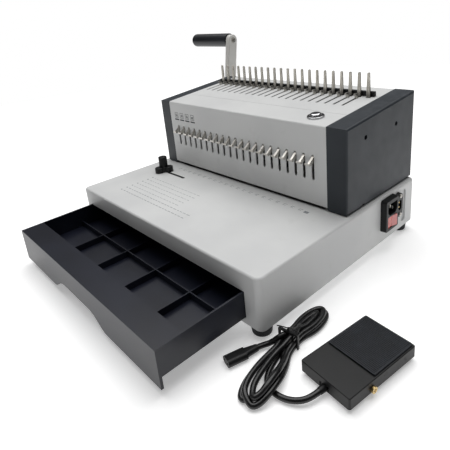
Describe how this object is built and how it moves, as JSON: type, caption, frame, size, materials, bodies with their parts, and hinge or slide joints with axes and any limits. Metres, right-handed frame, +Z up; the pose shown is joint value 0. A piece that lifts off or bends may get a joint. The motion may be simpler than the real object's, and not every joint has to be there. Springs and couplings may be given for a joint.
{
  "type": "comb binding machine",
  "caption": "Desktop comb binding machine with electric punch, hand lever, finger comb, pulled-out chip drawer, paper guide and a free-standing foot pedal with its lead in a hank",
  "frame": {"origin": "On the floor, at the middle of the bounding box of the machine with its pedal, leaving out the lead's hank, tie, tail and connector", "axes": "+X to the user's right, along the row of prongs; +Y away from the user, to the machine's back; +Z up"},
  "size_m": [0.6314, 0.475, 0.287],
  "materials": {
    "panel_paint": "light grey powder coat, satin",
    "dark_paint": "dark slate grey satin paint",
    "drawer_plastic": "navy-black moulded plastic, satin gloss",
    "plated_steel": "nickel-plated steel",
    "tool_steel": "ground tool steel",
    "chrome": "polished chrome",
    "black_plastic": "black moulded plastic",
    "lever_paint": "off-white paint",
    "grip_vinyl": "black dipped vinyl, soft sheen",
    "foot_rubber": "black rubber",
    "brass": "turned brass",
    "cast_parts": "cast and machined housings",
    "nylon": "natural nylon",
    "red_plastic": "red translucent-look rocker",
    "board": "green lacquered board",
    "cord_vinyl": "black glossy cord jacket"
  },
  "bodies": {
    "machine": {"backing_strip": "black_plastic", "base_shell": "panel_paint", "board_spacers": "nylon", "bottom_plate": "panel_paint", "button_bezel": "chrome", "button_switch": "black_plastic", "control_board": "board", "cover_screws": "plated_steel", "die_plate": "tool_steel", "drawer_runners": "plated_steel", "foot_screws": "plated_steel", "front_panel": "panel_paint", "gearbox": "cast_parts", "inlet_blades": "plated_steel", "lead_connector": "black_plastic", "lead_hank": "cord_vinyl", "lead_tail": "cord_vinyl", "lead_tie": "black_plastic", "left_cover": "dark_paint", "left_frame": "plated_steel", "lever_bushes": "brass", "motor": "cast_parts", "paper_stop": "plated_steel", "pedal_base": "black_plastic", "pedal_gland": "black_plastic", "pedal_lead": "cord_vinyl", "pedal_screws": "brass", "pedal_socket": "black_plastic", "pedal_switch": "black_plastic", "power_inlet": "black_plastic", "prong_comb": "plated_steel", "punch_guide": "tool_steel", "ram_posts": "tool_steel", "right_cover": "dark_paint", "right_frame": "plated_steel", "rubber_feet": "foot_rubber", "shaft_bearings": "brass", "socket_pins": "brass", "socket_screws": "plated_steel", "tie_bars": "plated_steel", "top_panel": "panel_paint"},
    "drawer": {"chip_drawer": "drawer_plastic"},
    "lever": {"lever_arm": "lever_paint", "lever_grip": "grip_vinyl", "grip_bolt": "plated_steel", "lever_shaft": "plated_steel", "lever_cap": "plated_steel"},
    "rear_opener_plate": {"rear_opener": "plated_steel"},
    "front_opener_plate": {"front_opener": "plated_steel"},
    "ram": {"punch_ram": "plated_steel", "punches": "tool_steel"},
    "eccentric": {"eccentric_shaft": "tool_steel"},
    "guide": {"guide_block": "black_plastic", "guide_nut": "plated_steel"},
    "knob": {"guide_knob": "black_plastic"},
    "button": {"punch_button": "chrome"},
    "rocker": {"rocker_switch": "red_plastic"},
    "treadle": {"pedal_treadle": "black_plastic", "pedal_pad": "foot_rubber"}
  },
  "joints": [
    {"name": "drawer_slide", "type": "slide", "parent": "machine", "child": "drawer", "axis": [0, -1, 0], "range_m": [-0.1075, 0.115]},
    {"name": "lever_turn", "type": "hinge", "parent": "machine", "child": "lever", "pos_m": [-0.00583, 0.1675, 0.135], "axis": [1, 0, 0], "range_deg": [0, 60]},
    {"name": "rear_opener_slide", "type": "slide", "parent": "machine", "child": "rear_opener_plate", "axis": [0, -0.9958, -0.0911], "range_m": [0, 0.0302]},
    {"name": "front_opener_slide", "type": "slide", "parent": "machine", "child": "front_opener_plate", "axis": [0, 0, -1], "range_m": [0, 0.0181]},
    {"name": "ram_slide", "type": "slide", "parent": "machine", "child": "ram", "axis": [0, 0, -1], "range_m": [0, 0.01]},
    {"name": "eccentric_turn", "type": "hinge", "parent": "machine", "child": "eccentric", "pos_m": [-0.00583, 0.0775, 0.142], "axis": [1, 0, 0], "continuous": true},
    {"name": "guide_slide", "type": "slide", "parent": "machine", "child": "guide", "axis": [1, 0, 0], "range_m": [-0.0095, 0.0505]},
    {"name": "guide_knob_turn", "type": "hinge", "parent": "guide", "child": "knob", "pos_m": [-0.15283, -0.002, 0.1], "axis": [0, 0, 1], "range_deg": [-360, 0]},
    {"name": "button_press", "type": "slide", "parent": "machine", "child": "button", "axis": [0, 0.0911, -0.9958], "range_m": [0, 0.0025], "stiffness_N_per_m": 500, "springref_m": -0.001},
    {"name": "rocker_tip", "type": "hinge", "parent": "machine", "child": "rocker", "pos_m": [0.19567, 0.1245, 0.044], "axis": [0, 0, 1], "range_deg": [0, 16]},
    {"name": "treadle_press", "type": "hinge", "parent": "machine", "child": "treadle", "pos_m": [0.27869, -0.10217, 0.008], "axis": [-0.9925, 0.1219, 0], "range_deg": [0, 3], "stiffness_Nm_per_rad": 2, "springref_deg": -3.44}
  ],
  "couplings": [
    {"joint": "rear_opener_slide", "follows": "lever_turn", "m_per_rad": 0.028767},
    {"joint": "front_opener_slide", "follows": "lever_turn", "m_per_rad": 0.017189}
  ]
}
